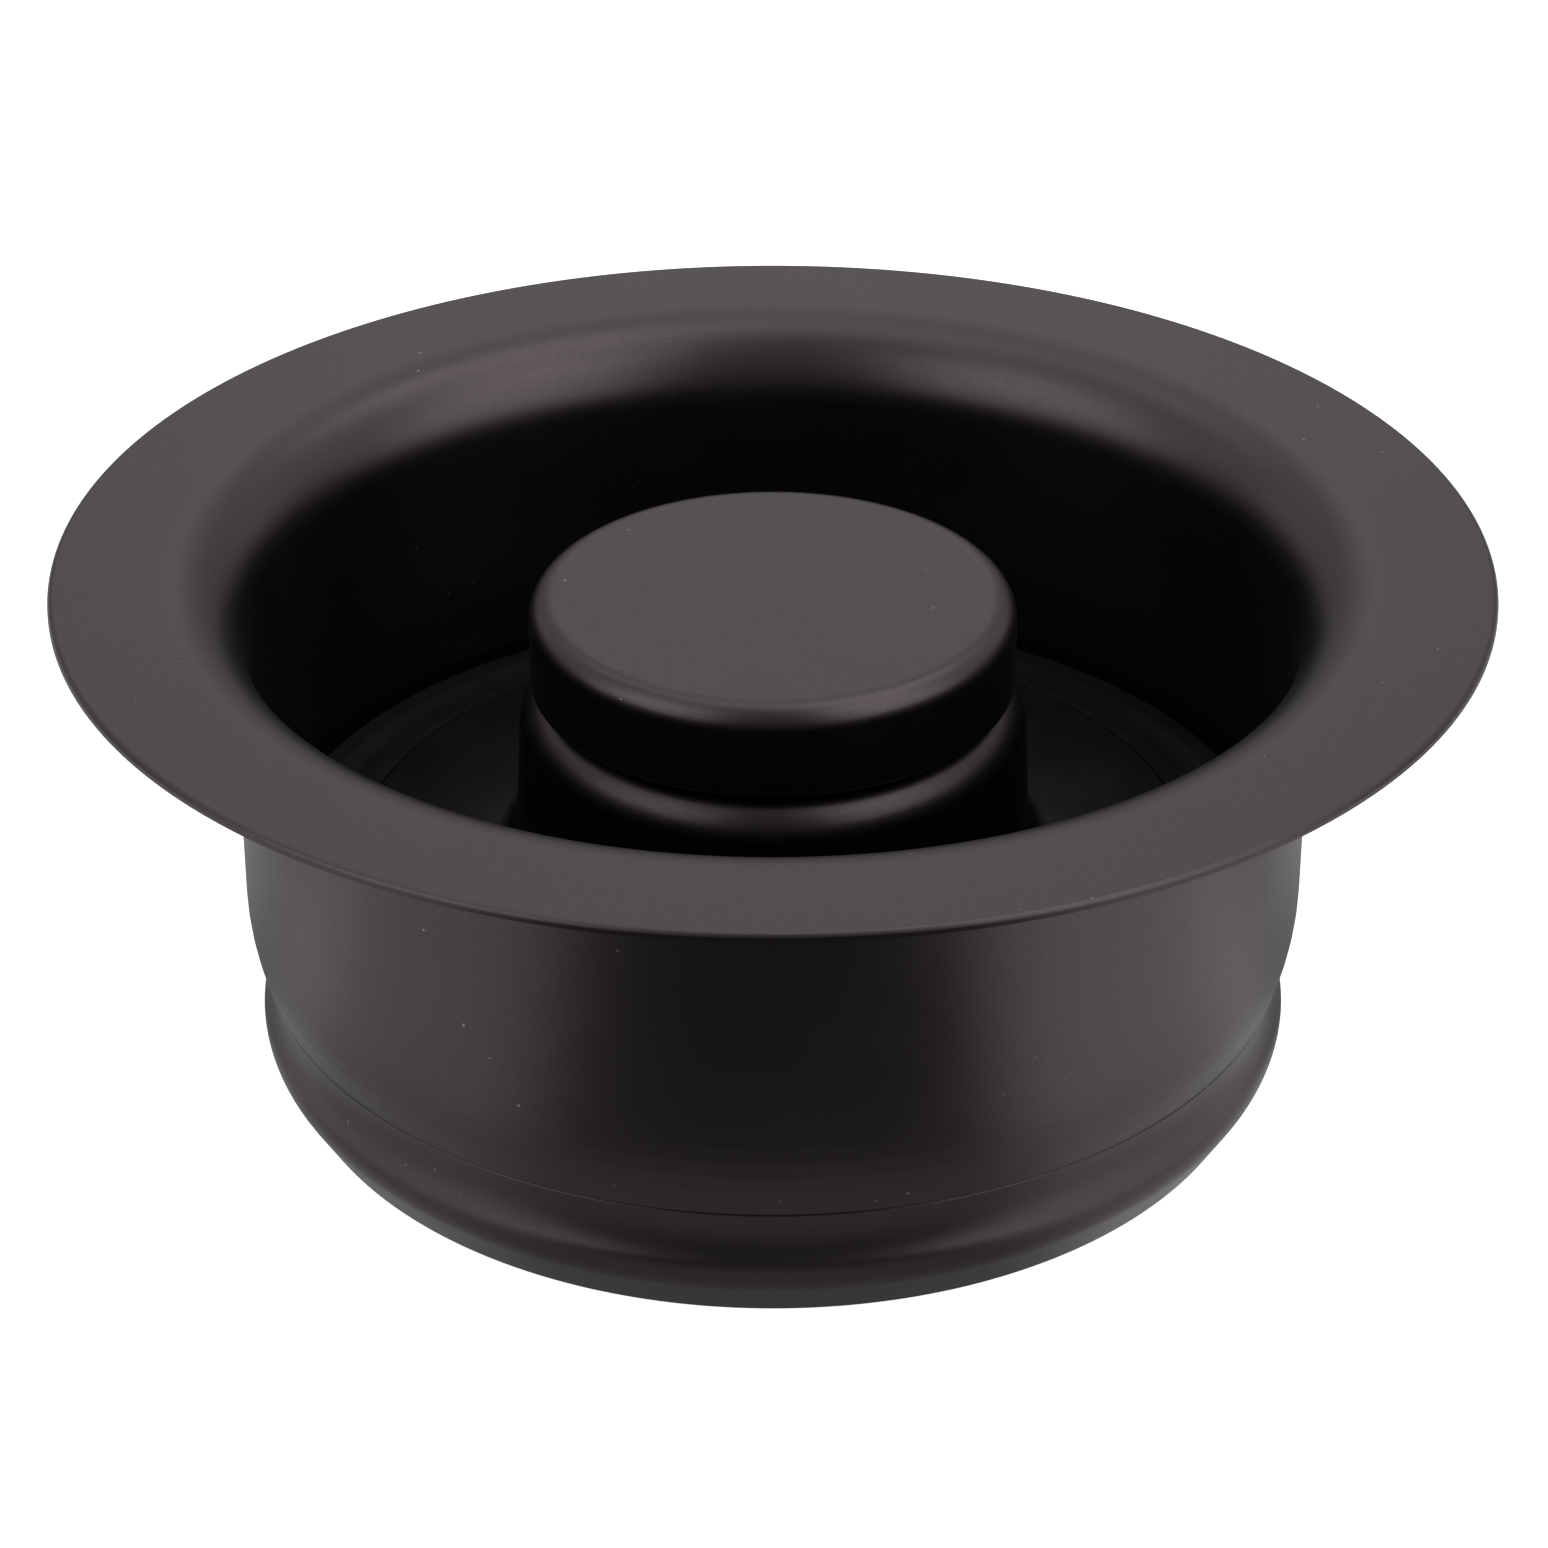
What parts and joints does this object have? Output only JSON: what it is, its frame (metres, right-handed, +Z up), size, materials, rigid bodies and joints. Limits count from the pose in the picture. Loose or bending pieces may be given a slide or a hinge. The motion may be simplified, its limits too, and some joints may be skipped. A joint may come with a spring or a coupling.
{
  "type": "sink drain flange with stopper",
  "caption": "Round metal sink flange for a waste disposal, with a flat brim, a deep throat with a snap-ring groove, and a lift-out stopper with a disc knob and rubber seal.",
  "frame": {"origin": "centre of the foot's plane, on the axis of revolution", "axes": "+Z up along the axis, from the foot to the brim; X and Y are any two directions, because the part is round"},
  "size_m": [0.1142, 0.1142, 0.0444],
  "materials": {
    "bronze_finish": "satin dark brown-grey bronze coating",
    "seal_rubber": "matte moulded rubber",
    "plain_steel": "plain stainless steel"
  },
  "bodies": {
    "flange": {"sink_flange": "bronze_finish"},
    "stopper": {"stopper_cover": "bronze_finish", "stopper_knob": "bronze_finish", "knob_gasket": "seal_rubber", "rubber_seal": "seal_rubber", "seal_retainer": "plain_steel", "flat_washer": "plain_steel", "lock_washer": "plain_steel", "clamp_screw": "plain_steel"}
  },
  "joints": [
    {"name": "stopper_lift", "type": "slide", "parent": "flange", "child": "stopper", "axis": [0, 0, 1], "range_m": [0, 0.06]}
  ]
}
